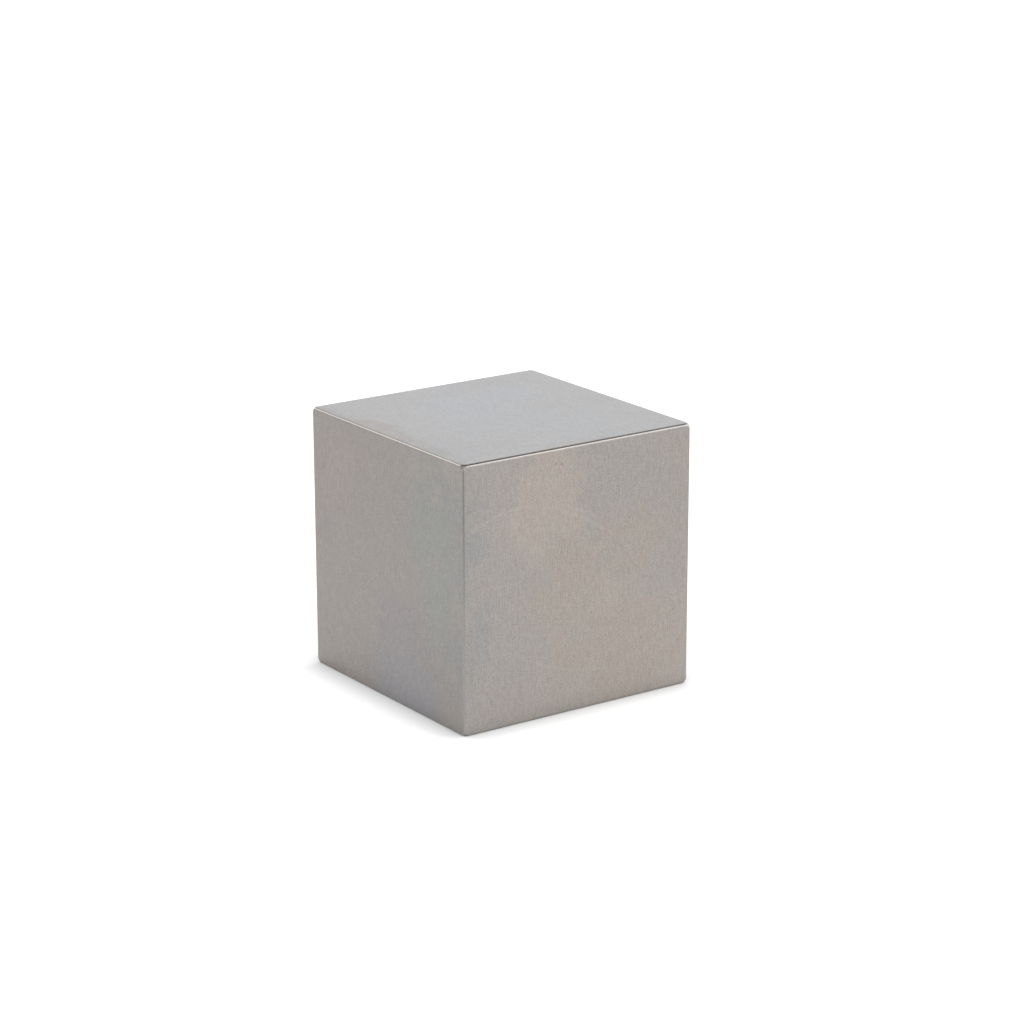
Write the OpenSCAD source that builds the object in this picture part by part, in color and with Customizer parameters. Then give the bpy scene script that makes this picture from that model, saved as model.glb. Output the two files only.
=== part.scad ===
// A solid cube of tungsten alloy, ground flat on all six faces.
// Its edges are broken with a small radius. Its corners are taken back a little
// further than the edges, as they come from deburring, and no line is left sharp.

/* [Cube] */
// Length of each side, from a face to the opposite face
side = 38.1; // [12.7:0.1:101.6]

/* [Edges and corners] */
// Radius that rounds each of the twelve edges
edge_r = 0.38; // [0.2:0.01:1.5]
// How far each corner is cut back along its three edges before it is rounded
corner_cut = 0.28; // [0.05:0.01:1]

/* [Hidden] */
$fn = 48;

// The form is that of a smaller block with its eight corners cut off flat, grown
// outwards by edge_r all round, so each surface runs smoothly into the next.
// From the centre of the block to one of its faces
face_reach = side / 2 - edge_r;
// From the centre of the block, along one of its edges, to where the edge ends
edge_reach = face_reach - corner_cut;
// Side of the triangle that each cut leaves, and radius of the circle through its points
facet_side = corner_cut * sqrt(2);
facet_r = facet_side / sqrt(3);
// How far that triangle lies inside the uncut corner
facet_depth = corner_cut / sqrt(3);
// The flat grown from it lies a hair under the radius round it, so that they cross
// along clear lines instead of only touching
facet_sink = edge_r / 200;
// Angle between an edge of the cube and the diagonal from corner to corner
diagonal_tilt = acos(1 / sqrt(3));

// Repeats its children along Z, X and Y: each turn is a third of a full turn about
// the cube's diagonal, made of right angles
module each_axis() {
    for (turn = [[0, 0, 0], [90, 0, 90], [0, -90, -90]])
        rotate(turn)
            children();
}

// Repeats its children at the eight corners of the smaller block
module each_corner() {
    for (x = [0, 1], y = [0, 1], z = [0, 1])
        mirror([x, 0, 0])
            mirror([0, y, 0])
                mirror([0, 0, z])
                    translate([face_reach, face_reach, face_reach])
                        children();
}

// Three crossed bars, whose ends are the six ground faces
module faces() {
    each_axis()
        linear_extrude(side, center = true)
            polygon([
                [face_reach, edge_reach],
                [edge_reach, face_reach],
                [-edge_reach, face_reach],
                [-face_reach, edge_reach],
                [-face_reach, -edge_reach],
                [-edge_reach, -face_reach],
                [edge_reach, -face_reach],
                [face_reach, -edge_reach]
            ]);
}

// The radius along the twelve edges
module edges() {
    each_axis()
        for (x = [-face_reach, face_reach], y = [-face_reach, face_reach])
            translate([x, y, 0])
                cylinder(r = edge_r, h = 2 * edge_reach, center = true);
}

// One corner, with the uncut corner of the smaller block at its origin:
// a ball at each point of the triangle, a rod along each side and the flat between
module corner() {
    each_axis() {
        translate([0, 0, -corner_cut])
            sphere(r = edge_r);
        translate([0, -corner_cut / 2, -corner_cut / 2])
            rotate([45, 0, 0])
                cylinder(r = edge_r, h = facet_side, center = true);
    }
    rotate([0, diagonal_tilt, 45])
        translate([0, 0, -facet_depth])
            cylinder(r = facet_r, h = 2 * (edge_r - facet_sink), center = true, $fn = 3);
}

module tungsten_cube() {
    color([0.66, 0.64, 0.62])
        translate([0, 0, side / 2]) {
            faces();
            edges();
            each_corner() corner();
        }
}

tungsten_cube();
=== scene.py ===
"""Looks of a tungsten cube: one solid block, ground on all six faces.

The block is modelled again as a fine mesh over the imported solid, with the same radius
along its edges and the same dubbed corners, and dressed as ground tungsten alloy. A small
studio stands round it: a pale floor, two soft boxes, a soft sky and a camera.
"""
import logging
import math
from dataclasses import dataclass
from enum import Enum
from typing import Any, Dict, Optional, Tuple

import bmesh
import bpy
from mathutils import Matrix, Vector, noise
from mathutils.bvhtree import BVHTree


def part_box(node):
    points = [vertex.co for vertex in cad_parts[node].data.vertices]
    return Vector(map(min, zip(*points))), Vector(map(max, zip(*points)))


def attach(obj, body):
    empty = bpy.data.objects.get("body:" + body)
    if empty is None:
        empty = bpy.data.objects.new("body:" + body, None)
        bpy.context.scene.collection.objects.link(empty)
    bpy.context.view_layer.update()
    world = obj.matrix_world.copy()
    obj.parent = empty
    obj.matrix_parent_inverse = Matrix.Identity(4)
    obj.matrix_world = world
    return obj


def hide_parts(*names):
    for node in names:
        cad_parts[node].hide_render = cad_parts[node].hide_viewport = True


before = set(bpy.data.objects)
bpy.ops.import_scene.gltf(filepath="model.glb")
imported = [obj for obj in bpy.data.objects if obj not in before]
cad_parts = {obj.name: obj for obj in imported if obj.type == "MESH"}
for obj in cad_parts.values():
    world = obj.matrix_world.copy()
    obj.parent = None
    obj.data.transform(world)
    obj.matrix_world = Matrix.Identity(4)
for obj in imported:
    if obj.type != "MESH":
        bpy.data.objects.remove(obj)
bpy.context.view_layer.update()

log = logging.getLogger("tungsten_cube")

MM = 0.001                      # a millimetre, in metres
NODE = "tungsten_cube"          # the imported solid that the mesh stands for
BODY = "root"                   # the one body of a part without joints
CAMERA_AZIMUTH = -124.89        # where the camera stands, in degrees round from +X
WORN_AND_SHADED = "worn_and_shaded_edge"              # mesh attribute: 1 on the rounded edges, 0 on the flats; it sets their sharper gloss and their painted shade
WELD = 1e-9                     # metres: what lies closer than this to a cut is on it
NOISE_MIDDLE = 0.5              # the mean of a noise texture
NOISE_LOW, NOISE_HIGH = 0.3, 0.7    # the range that nearly all of it falls in

Colour = Tuple[float, float, float, float]


def linear(code: str) -> Colour:
    """Turns an sRGB hex colour into the linear colour that nodes work with.

    Args:
        code: six hex digits with a leading #, such as "#a8a29d".

    Returns:
        Linear red, green and blue, and an alpha of 1.
    """
    def channel(value: float) -> float:
        """One channel from 0 to 1, from sRGB to linear."""
        return value / 12.92 if value <= 0.04045 else ((value + 0.055) / 1.055) ** 2.4
    red, green, blue = (channel(int(code[i:i + 2], 16) / 255) for i in (1, 3, 5))
    return (red, green, blue, 1.0)


def add_node(tree: bpy.types.NodeTree, kind: str,
             inputs: Optional[Dict[Any, Any]] = None, **settings: Any) -> bpy.types.Node:
    """Adds a node to a tree, with its settings and whatever feeds its inputs.

    Args:
        tree: the node tree that takes the node.
        kind: the node's type, without its ShaderNode prefix.
        inputs: for an input's name or number, its value or the socket that feeds it.
        settings: the node's own properties, such as operation or blend_type.

    Returns:
        The new node.
    """
    node = tree.nodes.new("ShaderNode" + kind)
    for name, value in settings.items():
        setattr(node, name, value)
    for key, value in (inputs or {}).items():
        if isinstance(value, bpy.types.NodeSocket):
            tree.links.new(value, node.inputs[key])
        else:
            node.inputs[key].default_value = value
    return node


class Tint(Enum):
    """Colours that the thin oxide gives ground tungsten alloy where it lies thicker; DUSK is a
    darker grey.
    """

    TAN = "#aca39b"
    STRAW = "#b4aaa1"
    BLUE = "#a9a39f"
    TEAL = "#a2a19e"
    SLATE = "#a2a09e"
    VIOLET = "#a49e9e"
    ROSE = "#aca19c"
    ASH = "#a7a09c"
    # Laid along the foot of each side, so that the sides are darker towards the bottom
    DUSK = "#a4a1a3"
    PEARL = "#aeaaab"
    LAVENDER = "#b0afb1"


class Side(Enum):
    """Faces of the cube, by the axis that each looks along and that axis's sign."""

    LEFT = (0, -1)
    RIGHT = (0, 1)
    FRONT = (1, -1)
    BACK = (1, 1)
    TOP = (2, 1)

    def point(self, along: float, up: float, half: float) -> Tuple[float, float, float]:
        """A point on the face, in mm from the cube's own centre.

        Args:
            along: mm from the face's centre along X, or along Y on a left or right face.
            up: mm from the face's centre up the face, or along Y on the top.
            half: half the cube's side in mm.

        Returns:
            The point.
        """
        axis, sign = self.value
        place = [along, up, 0.0] if axis == 2 else [along, along, up]
        place[axis] = sign * half
        return (place[0], place[1], place[2])


@dataclass(frozen=True)
class OxidePatch:
    """One cloud of oxide colour on a face.

    Attributes:
        side: the face that it lies on.
        along: its centre along the face, as Side.point takes it.
        up: its centre up the face, in the same way.
        reach: its half width and half height in mm.
        tint: its colour.
        strength: how much of the tint shows at its centre, from 0 to 1.
        turn: its slope in degrees about the axis that its face looks along.
        deepest: the most that it reaches into the block, in mm.
        depth_share: how far it reaches in where that is less, as a share of its reach.
    """

    side: Side
    along: float
    up: float
    reach: Tuple[float, float]
    tint: Tint
    strength: float
    turn: float = 0.0
    deepest: float = 5.0
    depth_share: float = 0.6

    def radii(self) -> Tuple[float, float, float]:
        """The patch's half sizes in mm along X, Y and Z, shallow into the face."""
        axis = self.side.value[0]
        size = [self.reach[0], self.reach[0], self.reach[1]]
        if axis == 2:
            size = [self.reach[0], self.reach[1], 0.0]
        size[axis] = min(self.deepest, self.depth_share * min(self.reach))
        return (size[0], size[1], size[2])

    def rotation(self) -> Tuple[float, float, float]:
        """The patch's slope as a turn about the axis that its face looks along."""
        turn = [0.0, 0.0, 0.0]
        turn[self.side.value[0]] = math.radians(self.turn)
        return (turn[0], turn[1], turn[2])


OXIDE: Tuple[OxidePatch, ...] = (
    OxidePatch(Side.FRONT, -13.0, -5.5, (11.0, 17.0), Tint.BLUE, 0.90),
    OxidePatch(Side.FRONT, 7.5, 11.6, (15.0, 9.0), Tint.BLUE, 0.90),
    OxidePatch(Side.FRONT, -5.7, 11.5, (8.5, 11.5), Tint.STRAW, 0.80),
    OxidePatch(Side.FRONT, -1.5, 0.5, (7.5, 11.0), Tint.TAN, 0.90, 30.0),
    OxidePatch(Side.FRONT, 8.5, -10.5, (17.0, 12.0), Tint.TAN, 1.0),
    OxidePatch(Side.FRONT, 10.7, 3.4, (10.0, 7.0), Tint.TAN, 0.90),
    OxidePatch(Side.FRONT, 5.5, -1.5, (7.0, 5.0), Tint.STRAW, 0.40),
    OxidePatch(Side.FRONT, 13.7, -0.5, (7.0, 4.5), Tint.BLUE, 0.70),
    OxidePatch(Side.FRONT, 18.0, 14.0, (4.0, 6.0), Tint.TAN, 0.70),
    OxidePatch(Side.LEFT, 4.0, 0.0, (38.0, 38.0), Tint.ASH, 1.0),
    OxidePatch(Side.LEFT, 12.4, 10.7, (5.5, 6.0), Tint.ROSE, 0.90),
    OxidePatch(Side.LEFT, 17.5, 2.7, (4.0, 6.0), Tint.VIOLET, 0.80),
    OxidePatch(Side.LEFT, -13.0, 5.0, (10.5, 19.0), Tint.TEAL, 1.0),
    OxidePatch(Side.LEFT, -3.3, -7.0, (8.0, 6.5), Tint.VIOLET, 0.90),
    OxidePatch(Side.LEFT, -13.7, -7.0, (7.0, 8.0), Tint.TEAL, 0.90),
    OxidePatch(Side.LEFT, -4.8, -16.5, (14.0, 9.0), Tint.DUSK, 1.0),
    OxidePatch(Side.LEFT, -18.0, -1.0, (5.5, 26.0), Tint.SLATE, 0.85),
    OxidePatch(Side.TOP, 1.0, 7.9, (14.0, 10.0), Tint.LAVENDER, 1.0, 20.0),
    OxidePatch(Side.TOP, -2.7, -1.0, (12.0, 9.0), Tint.LAVENDER, 0.80, 35.0),
    OxidePatch(Side.TOP, 4.0, -8.5, (9.0, 11.0), Tint.LAVENDER, 0.80, -25.0),
    OxidePatch(Side.TOP, -15.5, -11.0, (6.0, 9.0), Tint.PEARL, 0.80),
    OxidePatch(Side.TOP, 8.0, 17.5, (8.0, 4.0), Tint.PEARL, 0.80),
    OxidePatch(Side.RIGHT, -9.0, 8.0, (12.0, 13.0), Tint.BLUE, 0.90),
    OxidePatch(Side.RIGHT, 8.0, -6.0, (15.0, 12.0), Tint.TAN, 0.90),
    OxidePatch(Side.RIGHT, 5.0, 12.0, (9.0, 7.0), Tint.STRAW, 0.60),
    OxidePatch(Side.RIGHT, 13.0, 3.0, (7.0, 10.0), Tint.TEAL, 0.70),
    OxidePatch(Side.RIGHT, -6.0, -15.0, (13.0, 8.0), Tint.DUSK, 0.90),
    OxidePatch(Side.BACK, -8.0, 3.0, (14.0, 17.0), Tint.TAN, 0.90),
    OxidePatch(Side.BACK, 9.0, -7.0, (13.0, 14.0), Tint.BLUE, 0.90),
    OxidePatch(Side.BACK, 6.0, 11.0, (10.0, 8.0), Tint.ROSE, 0.50),
    OxidePatch(Side.BACK, 14.0, 5.0, (7.0, 11.0), Tint.TEAL, 0.70),
    OxidePatch(Side.BACK, -4.0, -16.0, (14.0, 7.0), Tint.DUSK, 0.80),
)


@dataclass(frozen=True)
class Scuff:
    """A faint curved rub on a face, where something hard once turned against it.

    Attributes:
        side: the face that it lies on.
        centre: the middle of its curve along and up the face, in mm.
        radius: the curve's radius in mm.
        middle: the middle of the stretch that shows, along and up the face.
        reach: half of that stretch's length in mm.
    """

    side: Side
    centre: Tuple[float, float]
    radius: float
    middle: Tuple[float, float]
    reach: float


@dataclass(frozen=True)
class Pit:
    """A small dark pit in a face: its place along and up it, and its radius, in mm."""

    side: Side
    along: float
    up: float
    radius: float


SCUFFS: Tuple[Scuff, ...] = (
    Scuff(Side.FRONT, (-17.9, -27.1), 40.1, (2.5, 7.5), 10.0),
    Scuff(Side.FRONT, (-17.9, -27.1), 41.0, (0.0, 9.0), 6.0),
    Scuff(Side.FRONT, (7.3, 21.2), 35.2, (-4.0, -12.2), 12.0),
    Scuff(Side.FRONT, (-8.7, -8.3), 20.0, (-14.0, 11.0), 8.0),
    Scuff(Side.TOP, (-20.0, 6.0), 34.0, (13.5, 10.0), 13.0),
    Scuff(Side.RIGHT, (6.0, -24.0), 31.0, (2.0, 7.0), 12.0),
    Scuff(Side.BACK, (18.0, 16.0), 27.0, (-2.0, -2.5), 12.0),
)

PITS: Tuple[Pit, ...] = (
    Pit(Side.FRONT, -3.9, 16.9, 0.22),
    Pit(Side.FRONT, -3.0, 16.7, 0.26),
    Pit(Side.FRONT, -9.1, 15.1, 0.16),
    Pit(Side.FRONT, 2.1, -5.3, 0.20),
    Pit(Side.FRONT, 10.8, -10.6, 0.18),
    Pit(Side.BACK, 7.4, 3.2, 0.22),
    Pit(Side.RIGHT, -6.1, -2.8, 0.20),
    Pit(Side.TOP, 6.3, 11.8, 0.18),
)


@dataclass(frozen=True)
class GroundTungsten:
    """Tungsten heavy alloy, surface ground and then handled.

    A dense grey metal with a slightly warm cast. The grinding wheel leaves fine straight
    lines, so the flats are satin and their lines show faintly; the air leaves a film of
    oxide in clouds of tan and blue; the edges are rubbed to a polish and reflect more
    sharply, and carry a painted shade that makes them a little darker.
    """

    side_mm: float
    metal: str = "#aba49f"          # the bare ground metal of the sides
    metal_level: str = "#b0aead"    # the top, lighter and cooler than the sides
    edge_shade: str = "#a39d98"      # the rounded edges, a little darker than the flats: painted shade that deepens the dark lines along them
    pit: str = "#5a5753"            # the pores of the sintered alloy
    roughness: float = 0.36
    edge_roughness: float = 0.20
    line_mm: float = 0.12           # real lines are 0.02 to 0.05 mm, too fine to show
    line_length_mm: float = 1.3
    nick_mm: float = 0.15           # length of the shortest marks between them
    nick_share: float = 0.68        # how much of the pattern those marks make up
    line_contrast: float = 0.23
    line_depth_mm: float = 0.003
    cloud_mm: float = 7.0           # size of the oxide's own clouds
    cloud_contrast: float = 0.03    # how much lighter and darker they make the metal
    ragged_mm: float = 11.0         # how far they push the patches' borders about
    patch_full: float = 0.6         # a patch is full where this share of its reach is left
    scuff_mm: float = 0.20          # half width of a scuff
    scuff_share: float = 0.05       # how far it stands out from the lines
    pore_mm: float = 0.9            # spacing of the places that may have a pore
    pore_rim: float = 0.12          # radius of a pore, as a share of that spacing
    pore_heart: float = 0.05        # radius of its darkest part, in the same way
    pore_gaps: float = 0.93         # share of those places that have none
    pore_dark: float = 0.5          # how much of the pit colour shows in a pore
    pit_dark: float = 0.35          # how much of it shows in a pit
    level_mm: Tuple[float, float] = (0.3, 0.1)  # from the top, where its finish sets in

    def build(self) -> bpy.types.Material:
        """Makes the material.

        Returns:
            The finished material, which reads Object coordinates and the worn edges.
        """
        material = bpy.data.materials.new("ground_tungsten_alloy")
        material.use_nodes = True
        tree = material.node_tree
        tree.nodes.clear()
        half = self.side_mm / 2
        object_place = add_node(tree, "TexCoord").outputs["Object"]
        # From here on places are in mm, from the cube's own centre
        place = add_node(tree, "Mapping", {
            "Vector": object_place, "Location": (0, 0, -half),
            "Scale": (1 / MM, 1 / MM, 1 / MM)}).outputs["Vector"]
        worn_and_shaded = add_node(tree, "Attribute", attribute_name=WORN_AND_SHADED).outputs["Fac"]
        level_share = self._level_share(tree, place)
        lines = self._lines(tree, place, level_share)
        lines = add_node(tree, "Math", {0: self._scuffs(tree, place), 1: self.scuff_share,
                                        2: lines}, operation="MULTIPLY_ADD").outputs[0]
        colour = self._oxide(tree, place, level_share)
        shade = add_node(tree, "MapRange", {
            "Value": lines, "From Min": NOISE_LOW, "From Max": NOISE_HIGH,
            "To Min": 1 - self.line_contrast,
            "To Max": 1 + self.line_contrast}).outputs["Result"]
        colour = add_node(tree, "Mix", {"Factor": 1.0, 6: colour, 7: shade},
                          data_type="RGBA", blend_type="MULTIPLY").outputs[2]
        colour = add_node(tree, "Mix", {"Factor": self._pores(tree, place), 6: colour,
                                        7: linear(self.pit)}, data_type="RGBA").outputs[2]
        # Painted shade: the rounded edges take a colour a little darker than the flats
        colour = add_node(tree, "Mix", {"Factor": worn_and_shaded, 6: colour,
                                        7: linear(self.edge_shade)}, data_type="RGBA").outputs[2]
        roughness = add_node(tree, "MapRange", {
            "Value": worn_and_shaded, "To Min": self.roughness,
            "To Max": self.edge_roughness}).outputs["Result"]
        bump = add_node(tree, "Bump", {
            "Height": lines, "Strength": 1.0,
            "Distance": self.line_depth_mm * MM}).outputs["Normal"]
        shader = add_node(tree, "BsdfPrincipled", {
            "Base Color": colour, "Metallic": 1.0, "Roughness": roughness,
            "Normal": bump})
        add_node(tree, "OutputMaterial", {"Surface": shader.outputs["BSDF"]})
        return material

    def _lines(self, tree: bpy.types.NodeTree, place: bpy.types.NodeSocket,
               level_share: bpy.types.NodeSocket) -> bpy.types.NodeSocket:
        """The grinding lines, from 0 to 1: up the sides, and along Y on top and base.

        Args:
            tree: the material's nodes.
            place: where a point is, in mm from the cube's centre.
            level_share: 1 on the top and the base, 0 on the sides.

        Returns:
            The socket that carries the lines' height.
        """
        across, long, short = 1 / self.line_mm, 1 / self.line_length_mm, 1 / self.nick_mm
        heights = []
        for level in (False, True):
            pair = []
            for along in (long, short):
                scale = (across, along, across) if level else (across, across, along)
                stretched = add_node(tree, "Mapping", {"Vector": place, "Scale": scale})
                pair.append(add_node(tree, "TexNoise", {
                    "Vector": stretched.outputs["Vector"], "Scale": 1.0, "Detail": 1.0,
                    "Roughness": 0.5}).outputs["Fac"])
            heights.append(add_node(tree, "Mix", {
                "Factor": self.nick_share, 2: pair[0], 3: pair[1]}).outputs[0])
        return add_node(tree, "Mix", {"Factor": level_share, 2: heights[0],
                                      3: heights[1]}).outputs[0]

    def _level_share(self, tree: bpy.types.NodeTree,
                     place: bpy.types.NodeSocket) -> bpy.types.NodeSocket:
        """1 on the top and the base, 0 on the sides.

        Args:
            tree: the material's nodes.
            place: where a point is, in mm from the cube's centre.

        Returns:
            The socket that carries that share.
        """
        height = add_node(tree, "SeparateXYZ", {"Vector": place}).outputs["Z"]
        from_middle = add_node(tree, "Math", {0: height}, operation="ABSOLUTE").outputs[0]
        start, end = (self.side_mm / 2 - below for below in self.level_mm)
        return add_node(tree, "MapRange", {
            "Value": from_middle, "From Min": start, "From Max": end}).outputs["Result"]

    def _scuffs(self, tree: bpy.types.NodeTree,
                place: bpy.types.NodeSocket) -> bpy.types.NodeSocket:
        """The curved rubs, each a narrow band round its own centre that fades out.

        Args:
            tree: the material's nodes.
            place: where a point is, in mm from the cube's centre.

        Returns:
            The socket that is 1 in the middle of a scuff.
        """
        half = self.side_mm / 2
        total: Any = 0.0
        for scuff in SCUFFS:
            gap = add_node(tree, "VectorMath", {
                0: place, 1: scuff.side.point(*scuff.centre, half)},
                operation="DISTANCE").outputs["Value"]
            gap = add_node(tree, "Math", {0: gap, 1: scuff.radius, 2: self.scuff_mm},
                           operation="COMPARE").outputs[0]
            away = add_node(tree, "VectorMath", {
                0: place, 1: scuff.side.point(*scuff.middle, half)},
                operation="DISTANCE").outputs["Value"]
            fade = add_node(tree, "MapRange", {
                "Value": away, "From Max": scuff.reach, "To Min": 1.0,
                "To Max": 0.0}).outputs["Result"]
            total = add_node(tree, "Math", {0: gap, 1: fade, 2: total},
                             operation="MULTIPLY_ADD").outputs[0]
        return total

    def _pores(self, tree: bpy.types.NodeTree,
               place: bpy.types.NodeSocket) -> bpy.types.NodeSocket:
        """The pores: a few dark specks about a fifth of a millimetre across, and the pits.

        Args:
            tree: the material's nodes.
            place: where a point is, in mm from the cube's centre.

        Returns:
            The socket that is above 0 in a pore.
        """
        cells = add_node(tree, "TexVoronoi", {"Vector": place, "Scale": 1 / self.pore_mm})
        speck = add_node(tree, "MapRange", {
            "Value": cells.outputs["Distance"], "From Min": self.pore_rim,
            "From Max": self.pore_heart, "To Max": self.pore_dark}).outputs["Result"]
        pick = add_node(tree, "SeparateColor", {"Color": cells.outputs["Color"]})
        chosen = add_node(tree, "Math", {0: pick.outputs["Red"], 1: self.pore_gaps},
                          operation="GREATER_THAN").outputs[0]
        total = add_node(tree, "Math", {0: speck, 1: chosen}, operation="MULTIPLY").outputs[0]
        for pit in PITS:
            away = add_node(tree, "VectorMath", {
                0: place, 1: pit.side.point(pit.along, pit.up, self.side_mm / 2)},
                operation="DISTANCE").outputs["Value"]
            dark = add_node(tree, "MapRange", {
                "Value": away, "From Min": pit.radius, "From Max": pit.radius / 2,
                "To Max": self.pit_dark}).outputs["Result"]
            total = add_node(tree, "Math", {0: total, 1: dark}, operation="MAXIMUM").outputs[0]
        return total

    def _oxide(self, tree: bpy.types.NodeTree, place: bpy.types.NodeSocket,
               level_share: bpy.types.NodeSocket) -> bpy.types.NodeSocket:
        """The metal's colour with its clouds of oxide.

        Args:
            tree: the material's nodes.
            place: where a point is, in mm from the cube's centre.
            level_share: 1 on the top and the base, 0 on the sides.

        Returns:
            The socket that carries the colour.
        """
        clouds = add_node(tree, "TexNoise", {
            "Vector": place, "Scale": 1 / self.cloud_mm, "Detail": 6.0, "Roughness": 0.7})
        metal = add_node(tree, "Mix", {
            "Factor": level_share, 6: linear(self.metal), 7: linear(self.metal_level)},
            data_type="RGBA").outputs[2]
        thickness = add_node(tree, "MapRange", {
            "Value": clouds.outputs["Fac"], "From Min": NOISE_LOW, "From Max": NOISE_HIGH,
            "To Min": 1 + self.cloud_contrast,
            "To Max": 1 - self.cloud_contrast}).outputs["Result"]
        colour = add_node(tree, "Mix", {"Factor": 1.0, 6: metal, 7: thickness},
                          data_type="RGBA", blend_type="MULTIPLY").outputs[2]
        push = add_node(tree, "VectorMath", {
            0: clouds.outputs["Color"], 1: (NOISE_MIDDLE,) * 3},
            operation="SUBTRACT").outputs[0]
        pushed = add_node(tree, "VectorMath", {
            0: push, 1: (2 * self.ragged_mm,) * 3, 2: place},
            operation="MULTIPLY_ADD").outputs[0]
        half = self.side_mm / 2
        for patch in OXIDE:
            spot = add_node(tree, "Mapping", {
                "Vector": pushed, "Location": patch.side.point(patch.along, patch.up, half),
                "Rotation": patch.rotation(), "Scale": patch.radii()}, vector_type="TEXTURE")
            ball = add_node(tree, "TexGradient", {"Vector": spot.outputs["Vector"]},
                            gradient_type="SPHERICAL").outputs["Fac"]
            amount = add_node(tree, "MapRange", {
                "Value": ball, "From Max": self.patch_full, "To Max": patch.strength},
                interpolation_type="SMOOTHSTEP").outputs["Result"]
            colour = add_node(tree, "Mix", {
                "Factor": amount, 6: colour, 7: linear(patch.tint.value)},
                data_type="RGBA").outputs[2]
        return colour


@dataclass(frozen=True)
class StudioFloor:
    """Matt white card: it scatters evenly, shows no reflection and keeps a soft shadow; its
    glow to the metal holds painted light and shade.
    """

    card: str = "#ececeb"
    glow_to_camera: float = 0.60    # brings the lit card up to white
    glow_to_metal: float = 0.26     # what the metal mirrors of it, far from the block
    pool_share: float = 0.85        # how much more it glows to the metal beside the block: a painted pool of light
    pool_reach_mm: float = 120.0
    foot_share: float = 0.22        # how much of that is lost right at the block's foot: painted shade
    foot_reach_mm: float = 52.0
    foot_full: float = 0.6          # it is all lost where this share of the reach is left
    contact_mm: float = 4.5         # how far from the block its contact shadow reaches
    contact_depth: float = 1.5      # 1 for a faint contact shadow, 2 for a deep one
    shade_share: float = 0.35       # how much darker the metal sees the painted shade
    shade_place_mm: Tuple[float, float] = (-106.0, -123.0)  # its centre along X and Y
    shade_reach_mm: float = 92.0
    shade_full: float = 0.5         # it is darkest where this share of its reach is left

    def build(self) -> bpy.types.Material:
        """Makes the material, whose glow only brings the card up to white where it's seen.

        To the camera and to the metal the glow dies away where something stands close over the
        card, so that it doesn't fill in the shadow there: a painted contact shadow over the
        card's own.

        Returns:
            The finished material.
        """
        material = bpy.data.materials.new("matt_white_card")
        material.use_nodes = True
        tree = material.node_tree
        tree.nodes.clear()
        ray = add_node(tree, "LightPath").outputs
        mirrored = add_node(tree, "Math", {0: ray["Is Glossy Ray"],
                                           1: ray["Is Transmission Ray"]},
                            operation="MAXIMUM").outputs[0]
        # A painted pool of light round the block, which only the metal sees
        pool = add_node(tree, "MapRange", {
            "Value": self._blob(tree, (0.0, 0.0), self.pool_reach_mm),
            "To Min": self.glow_to_metal,
            "To Max": self.glow_to_metal * (1 + self.pool_share)}).outputs["Result"]
        # Painted shade at the block's foot, in what the metal sees of the glow
        foot = add_node(tree, "MapRange", {
            "Value": self._blob(tree, (0.0, 0.0), self.foot_reach_mm),
            "From Max": self.foot_full,
            "To Min": 1.0, "To Max": 1 - self.foot_share}).outputs["Result"]
        pool = add_node(tree, "Math", {0: pool, 1: foot}, operation="MULTIPLY").outputs[0]
        glow = add_node(tree, "Math", {0: mirrored, 1: pool}, operation="MULTIPLY").outputs[0]
        glow = add_node(tree, "Math", {0: ray["Is Camera Ray"], 1: self.glow_to_camera,
                                       2: glow}, operation="MULTIPLY_ADD").outputs[0]
        # Ambient occlusion dims the glow close to the block: a painted contact shadow
        open_share = add_node(tree, "AmbientOcclusion", {
            "Distance": self.contact_mm * MM}, samples=8).outputs["AO"]
        open_share = add_node(tree, "Math", {0: open_share, 1: self.contact_depth},
                              operation="POWER").outputs[0]
        glow = add_node(tree, "Math", {0: glow, 1: open_share},
                        operation="MULTIPLY").outputs[0]
        # Painted shade on the card, which only the metal sees: a thin dark line painted into
        # the reflection on its upright edge
        shaded = add_node(tree, "MapRange", {
            "Value": self._blob(tree, self.shade_place_mm, self.shade_reach_mm),
            "From Max": self.shade_full, "To Max": self.shade_share},
            interpolation_type="SMOOTHSTEP").outputs["Result"]
        shaded = add_node(tree, "Math", {0: shaded, 1: mirrored},
                          operation="MULTIPLY").outputs[0]
        lit = add_node(tree, "Math", {0: 1.0, 1: shaded}, operation="SUBTRACT").outputs[0]
        glow = add_node(tree, "Math", {0: glow, 1: lit}, operation="MULTIPLY").outputs[0]
        colour = add_node(tree, "Mix", {"Factor": 1.0, 6: linear(self.card), 7: lit},
                          data_type="RGBA", blend_type="MULTIPLY").outputs[2]
        card = add_node(tree, "BsdfDiffuse", {"Color": colour}).outputs["BSDF"]
        light = add_node(tree, "Emission", {"Strength": glow}).outputs["Emission"]
        both = add_node(tree, "AddShader", {0: card, 1: light}).outputs["Shader"]
        add_node(tree, "OutputMaterial", {"Surface": both})
        return material

    def _blob(self, tree: bpy.types.NodeTree, place_mm: Tuple[float, float],
              reach_mm: float) -> bpy.types.NodeSocket:
        """A round patch of the card, which fades out evenly from its centre.

        Args:
            tree: the material's nodes.
            place_mm: its centre along X and Y.
            reach_mm: its radius.

        Returns:
            The socket that is 1 at its centre and 0 outside it.
        """
        spot = add_node(tree, "Mapping", {
            "Vector": add_node(tree, "TexCoord").outputs["Object"],
            "Location": (place_mm[0] * MM, place_mm[1] * MM, 0.0),
            "Scale": (reach_mm * MM, reach_mm * MM, 1.0)}, vector_type="TEXTURE")
        return add_node(tree, "TexGradient", {"Vector": spot.outputs["Vector"]},
                        gradient_type="SPHERICAL").outputs["Fac"]


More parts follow.
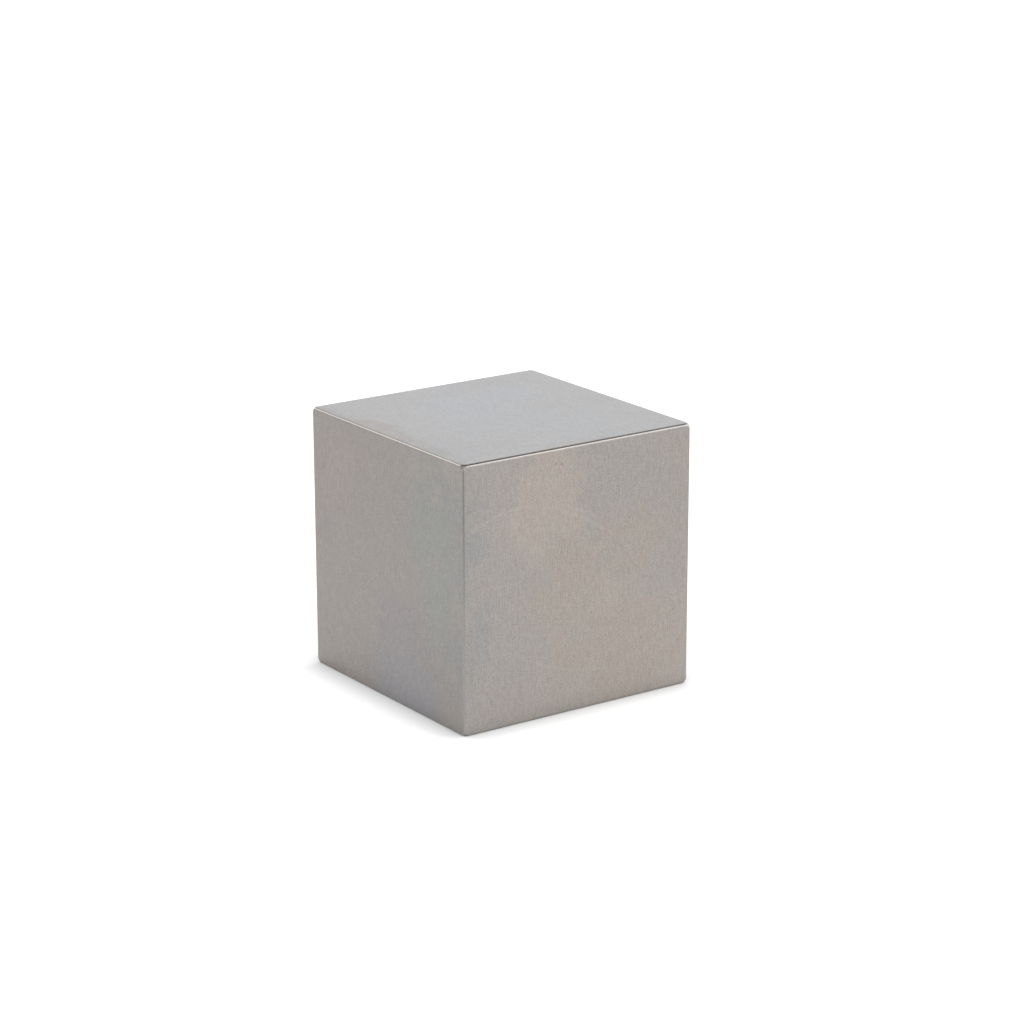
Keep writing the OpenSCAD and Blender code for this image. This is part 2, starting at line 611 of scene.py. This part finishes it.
@dataclass
class MachinedCube:
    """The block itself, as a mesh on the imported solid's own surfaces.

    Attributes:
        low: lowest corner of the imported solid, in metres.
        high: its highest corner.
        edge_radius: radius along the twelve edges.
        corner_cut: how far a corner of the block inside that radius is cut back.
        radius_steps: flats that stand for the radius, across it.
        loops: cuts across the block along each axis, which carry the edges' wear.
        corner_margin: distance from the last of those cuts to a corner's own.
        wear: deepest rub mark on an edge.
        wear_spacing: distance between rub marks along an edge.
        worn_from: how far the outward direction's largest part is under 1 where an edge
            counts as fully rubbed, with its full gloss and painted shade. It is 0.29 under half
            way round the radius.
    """

    low: Vector
    high: Vector
    edge_radius: float = 0.38 * MM
    corner_cut: float = 0.28 * MM
    radius_steps: int = 8
    loops: int = 38
    corner_margin: float = 0.2 * MM
    wear: float = 0.018 * MM
    wear_spacing: float = 3.5 * MM
    worn_from: float = 0.25

    @property
    def side(self) -> float:
        """Length of a side."""
        return self.high.x - self.low.x

    @property
    def centre(self) -> Vector:
        """Middle of the block."""
        return (self.low + self.high) / 2

    def build(self) -> bpy.types.Object:
        """Models the block.

        Returns:
            The finished object, at the origin, with its place in its mesh.
        """
        core = self._core()
        tree = BVHTree.FromBMesh(core)
        core.free()
        block = bmesh.new()
        bmesh.ops.create_cube(block, size=self.side)
        bmesh.ops.bevel(block, geom=block.edges[:], offset=self.edge_radius,
                        offset_type="OFFSET", affect="EDGES", segments=self.radius_steps,
                        profile=0.5, material=-1, clamp_overlap=True)
        self._cut_loops(block)
        worn_and_shaded = block.verts.layers.float.new(WORN_AND_SHADED)
        for vert in block.verts:
            near = tree.find_nearest(vert.co)[0]
            outward = (vert.co - near).normalized()
            # 0 on a flat, 1 round the middle of the radius
            share = min(1.0, (1.0 - max(abs(part) for part in outward)) / self.worn_from)
            # The noise runs from -1 to 1, and the rub from nothing to the deepest
            rub = self.wear * share * (0.5 + 0.5 * noise.noise(vert.co / self.wear_spacing))
            vert.co = near + outward * (self.edge_radius - rub)
            vert[worn_and_shaded] = share
        bmesh.ops.translate(block, verts=block.verts[:], vec=self.centre)
        bmesh.ops.recalc_face_normals(block, faces=block.faces[:])
        for face in block.faces:
            face.smooth = True
        mesh = bpy.data.meshes.new("ground_block")
        block.to_mesh(mesh)
        block.free()
        piece = bpy.data.objects.new("ground_block", mesh)
        bpy.context.scene.collection.objects.link(piece)
        return piece

    def _core(self) -> bmesh.types.BMesh:
        """The smaller block with cut corners that the radius is rolled round."""
        core = bmesh.new()
        bmesh.ops.create_cube(core, size=self.side - 2 * self.edge_radius)
        bmesh.ops.bevel(core, geom=core.verts[:], offset=self.corner_cut,
                        offset_type="OFFSET", affect="VERTICES", segments=1, profile=0.5,
                        material=-1)
        return core

    def _cut_loops(self, block: bmesh.types.BMesh) -> None:
        """Cuts the block across, evenly along each axis and close to its corners.

        Args:
            block: the block, centred on the origin.
        """
        last = self.side / 2 - self.edge_radius - self.corner_cut
        first = last - self.corner_margin
        steps = [first * (2 * i / (self.loops - 1) - 1) for i in range(self.loops)]
        middle = last + self.corner_cut / 2
        for axis in range(3):
            for at in [-middle, -last, *steps, last, middle]:
                spot, along = Vector((0, 0, 0)), Vector((0, 0, 0))
                spot[axis], along[axis] = at, 1.0
                bmesh.ops.bisect_plane(
                    block, geom=block.verts[:] + block.edges[:] + block.faces[:],
                    dist=WELD, plane_co=spot, plane_no=along)


def bearing(azimuth: float, elevation: float) -> Vector:
    """A direction from the cube, from degrees round from +X and degrees up."""
    a, e = math.radians(azimuth), math.radians(elevation)
    return Vector((math.cos(a) * math.cos(e), math.sin(a) * math.cos(e), math.sin(e)))


@dataclass(frozen=True)
class SoftBox:
    """A square area lamp that looks at the cube.

    Attributes:
        name: what it is called.
        azimuth: where it stands, in degrees round from +X.
        elevation: how high it stands, in degrees up from the floor.
        size: its side in metres.
        distance: how far from the cube it stands, in metres.
        level: how bright it looks, where 1 is white.
    """

    name: str
    azimuth: float
    elevation: float
    size: float
    distance: float
    level: float

    def build(self, target: Vector) -> bpy.types.Object:
        """Makes the lamp.

        Args:
            target: the point that it looks at.

        Returns:
            The lamp's object.
        """
        lamp = bpy.data.lights.new(self.name, "AREA")
        lamp.shape = "SQUARE"
        lamp.size = self.size
        lamp.energy = self.level * math.pi * self.size ** 2
        holder = bpy.data.objects.new(self.name, lamp)
        bpy.context.scene.collection.objects.link(holder)
        away = bearing(self.azimuth, self.elevation)
        holder.matrix_world = (Matrix.Translation(target + away * self.distance)
                               @ away.to_track_quat("Z", "Y").to_matrix().to_4x4())
        return holder


@dataclass(frozen=True)
class RoomSide:
    """One of the four sides of the room round the cube.

    Attributes:
        azimuth: where its middle stands, in degrees round from +X.
        wall: how bright its wall looks, where 1 is white.
        ceiling: how bright the ceiling next to it looks.
    """

    azimuth: float
    wall: float
    ceiling: float


@dataclass(frozen=True)
class StudioCamera:
    """A long lens, a little above the cube and to its left.

    Attributes:
        elevation: how high it stands, in degrees up from the cube's middle.
        roll: how far it leans, in degrees.
        distance: how far from the cube's middle it stands, in sides of the cube.
        aside: how far it is then moved to its own right, in sides.
        upward: how far it is moved up, in sides.
        sensor_mm: the sensor's width.
        lens_mm: the lens's focal length.
        nearest: where its view starts, in metres.
    """

    elevation: float = 16.54
    roll: float = -0.14
    distance: float = 11.355
    aside: float = 0.0452
    upward: float = 0.1219
    sensor_mm: float = 36.0
    lens_mm: float = 107.45
    nearest: float = 0.01

    def build(self, target: Vector, side: float) -> bpy.types.Object:
        """Makes the camera and hands it to the scene.

        Args:
            target: the cube's middle.
            side: the cube's side in metres.

        Returns:
            The camera's object.
        """
        away = bearing(CAMERA_AZIMUTH, self.elevation)
        right = bearing(CAMERA_AZIMUTH + 90.0, 0.0)
        up = away.cross(right)
        turn = Matrix((right, up, away)).transposed() @ Matrix.Rotation(
            math.radians(self.roll), 3, "Z")
        place = (target + away * self.distance * side
                 + turn.col[0] * self.aside * side + turn.col[1] * self.upward * side)
        lens = bpy.data.cameras.new("studio_camera")
        lens.sensor_width = self.sensor_mm
        lens.lens = self.lens_mm
        lens.clip_start = self.nearest
        holder = bpy.data.objects.new("studio_camera", lens)
        holder.matrix_world = Matrix.Translation(place) @ turn.to_4x4()
        bpy.context.scene.collection.objects.link(holder)
        bpy.context.scene.camera = holder
        return holder


@dataclass
class Studio:
    """The floor, the light and the camera.

    Attributes:
        target: the cube's middle.
        side: the cube's side in metres.
        floor_reach: half the floor's width in metres.
        sides: the room's four walls, each with the ceiling next to it.
        overhead: how bright the middle of the ceiling looks.
        wall_tint: the room's colour.
        walls_end: sine of the height at which the walls pass into the ceiling.
        middle_starts: the same for the ceiling and its middle.
        boxes: the soft boxes.
    """

    target: Vector
    side: float
    floor_reach: float = 6.0
    sides: Tuple[RoomSide, ...] = (
        RoomSide(CAMERA_AZIMUTH, wall=1.05, ceiling=0.9),       # behind the camera
        RoomSide(CAMERA_AZIMUTH + 90.0, wall=1.95, ceiling=0.27),   # beside a window
        RoomSide(CAMERA_AZIMUTH + 180.0, wall=1.15, ceiling=0.20),
        RoomSide(CAMERA_AZIMUTH + 270.0, wall=0.55, ceiling=0.5))
    overhead: float = 0.28
    wall_tint: str = "#fbfdff"
    walls_end: Tuple[float, float] = (0.62, 0.72)       # 38 to 46 degrees up
    middle_starts: Tuple[float, float] = (0.80, 0.90)   # 53 to 64 degrees up
    boxes: Tuple[SoftBox, ...] = (
        SoftBox("right_box", azimuth=-45.0, elevation=32.0, size=0.5, distance=1.0, level=0.65),
        SoftBox("left_box", azimuth=120.0, elevation=28.0, size=0.4, distance=1.0, level=1.6))

    def build(self) -> None:
        """Builds the floor, the sky, the lamps and the camera."""
        self._floor()
        self._room()
        for box in self.boxes:
            box.build(self.target)
        StudioCamera().build(self.target, self.side)
        bpy.context.scene.view_settings.view_transform = "Standard"

    def _floor(self) -> None:
        """A wide level card under the cube."""
        plane = bmesh.new()
        bmesh.ops.create_grid(plane, x_segments=1, y_segments=1, size=self.floor_reach)
        mesh = bpy.data.meshes.new("studio_floor")
        plane.to_mesh(mesh)
        plane.free()
        mesh.materials.append(StudioFloor().build())
        floor = bpy.data.objects.new("studio_floor", mesh)
        bpy.context.scene.collection.objects.link(floor)

    def _room(self) -> None:
        """Four pale walls that pass softly into each other, under a darker ceiling."""
        world = bpy.data.worlds.new("soft_room")
        bpy.context.scene.world = world
        world.use_nodes = True
        tree = world.node_tree
        tree.nodes.clear()
        direction = add_node(tree, "TexCoord").outputs["Generated"]
        height = add_node(tree, "SeparateXYZ", {"Vector": direction}).outputs["Z"]
        level = add_node(tree, "VectorMath", {0: direction, 1: (1.0, 1.0, 0.0)},
                         operation="MULTIPLY").outputs[0]
        level = add_node(tree, "VectorMath", {0: level}, operation="NORMALIZE").outputs[0]
        wall: Any = 0.0
        ceiling: Any = 0.0
        for side in self.sides:
            facing = add_node(tree, "VectorMath", {0: level, 1: bearing(side.azimuth, 0.0)},
                              operation="DOT_PRODUCT").outputs["Value"]
            facing = add_node(tree, "Math", {0: facing, 1: 0.0},
                              operation="MAXIMUM").outputs[0]
            # Squared, the shares of the four sides make up 1 in every direction
            share = add_node(tree, "Math", {0: facing, 1: 2.0}, operation="POWER").outputs[0]
            wall = add_node(tree, "Math", {0: share, 1: side.wall, 2: wall},
                            operation="MULTIPLY_ADD").outputs[0]
            ceiling = add_node(tree, "Math", {0: share, 1: side.ceiling, 2: ceiling},
                               operation="MULTIPLY_ADD").outputs[0]
        inner = add_node(tree, "MapRange", {
            "Value": height, "From Min": self.middle_starts[0],
            "From Max": self.middle_starts[1],
            "To Min": ceiling, "To Max": self.overhead},
            interpolation_type="SMOOTHSTEP").outputs["Result"]
        rise = add_node(tree, "MapRange", {
            "Value": height, "From Min": self.walls_end[0], "From Max": self.walls_end[1],
            "To Min": wall, "To Max": inner},
            interpolation_type="SMOOTHSTEP").outputs["Result"]
        back = add_node(tree, "Background", {"Color": linear(self.wall_tint),
                                             "Strength": rise}).outputs["Background"]
        add_node(tree, "OutputWorld", {"Surface": back})


def main() -> None:
    """Builds the cube and the studio, and logs the block's face count."""
    logging.basicConfig(level=logging.INFO, format="%(name)s: %(message)s")
    low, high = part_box(NODE)
    cube = MachinedCube(low, high)
    piece = cube.build()
    piece.data.materials.append(GroundTungsten(side_mm=cube.side / MM).build())
    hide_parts(NODE)
    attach(piece, BODY)
    log.info("%s: %d faces", piece.name, len(piece.data.polygons))
    Studio(target=cube.centre, side=cube.side).build()
    log.info("studio built")


if __name__ == "__main__":
    main()
